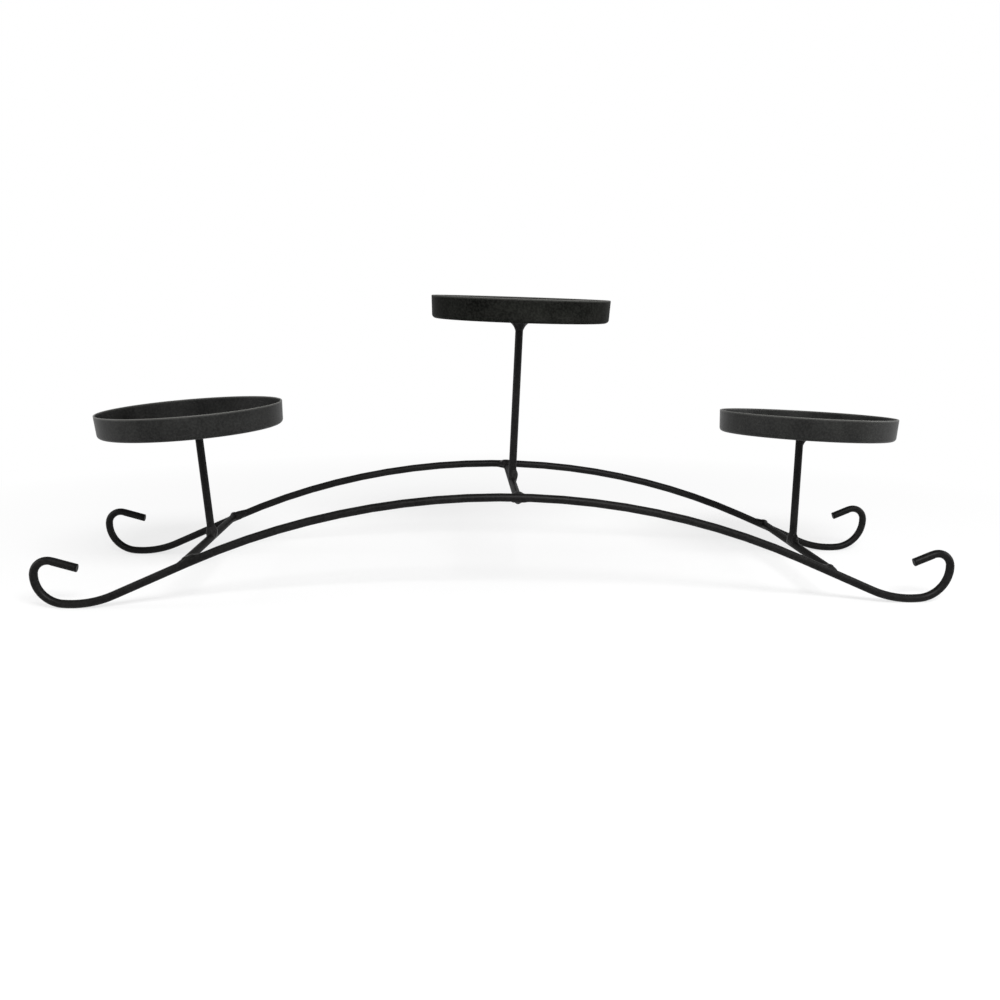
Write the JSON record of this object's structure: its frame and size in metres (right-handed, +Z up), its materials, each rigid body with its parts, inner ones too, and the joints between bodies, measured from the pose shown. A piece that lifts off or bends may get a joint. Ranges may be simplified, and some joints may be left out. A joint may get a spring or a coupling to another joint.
{
  "type": "arched three-pillar candle holder",
  "caption": "Low arched table candle holder: bent rod rails on scroll feet, crossbars, and stems that carry shallow round trays for pillar candles.",
  "frame": {"origin": "on the table, at the middle of the footprint of the four scroll feet", "axes": "+X along the rails to the right, +Y from the front rail to the rear rail, +Z up"},
  "size_m": [0.5598, 0.1424, 0.1859],
  "materials": {
    "rod_coating": "black satin powder coat on drawn steel rod",
    "tray_coating": "black satin powder coat on pressed sheet",
    "weld_coating": "black satin powder coat over uneven weld bead"
  },
  "bodies": {
    "root": {"front_rail": "rod_coating", "rear_rail": "rod_coating", "left_crossbar": "rod_coating", "left_stem": "rod_coating", "left_tray": "tray_coating", "left_front_rail_weld": "weld_coating", "left_rear_rail_weld": "weld_coating", "left_stem_weld": "weld_coating", "left_tray_weld": "weld_coating", "centre_crossbar": "rod_coating", "centre_stem": "rod_coating", "centre_tray": "tray_coating", "centre_front_rail_weld": "weld_coating", "centre_rear_rail_weld": "weld_coating", "centre_stem_weld": "weld_coating", "centre_tray_weld": "weld_coating", "right_crossbar": "rod_coating", "right_stem": "rod_coating", "right_tray": "tray_coating", "right_front_rail_weld": "weld_coating", "right_rear_rail_weld": "weld_coating", "right_stem_weld": "weld_coating", "right_tray_weld": "weld_coating"}
  },
  "joints": []
}
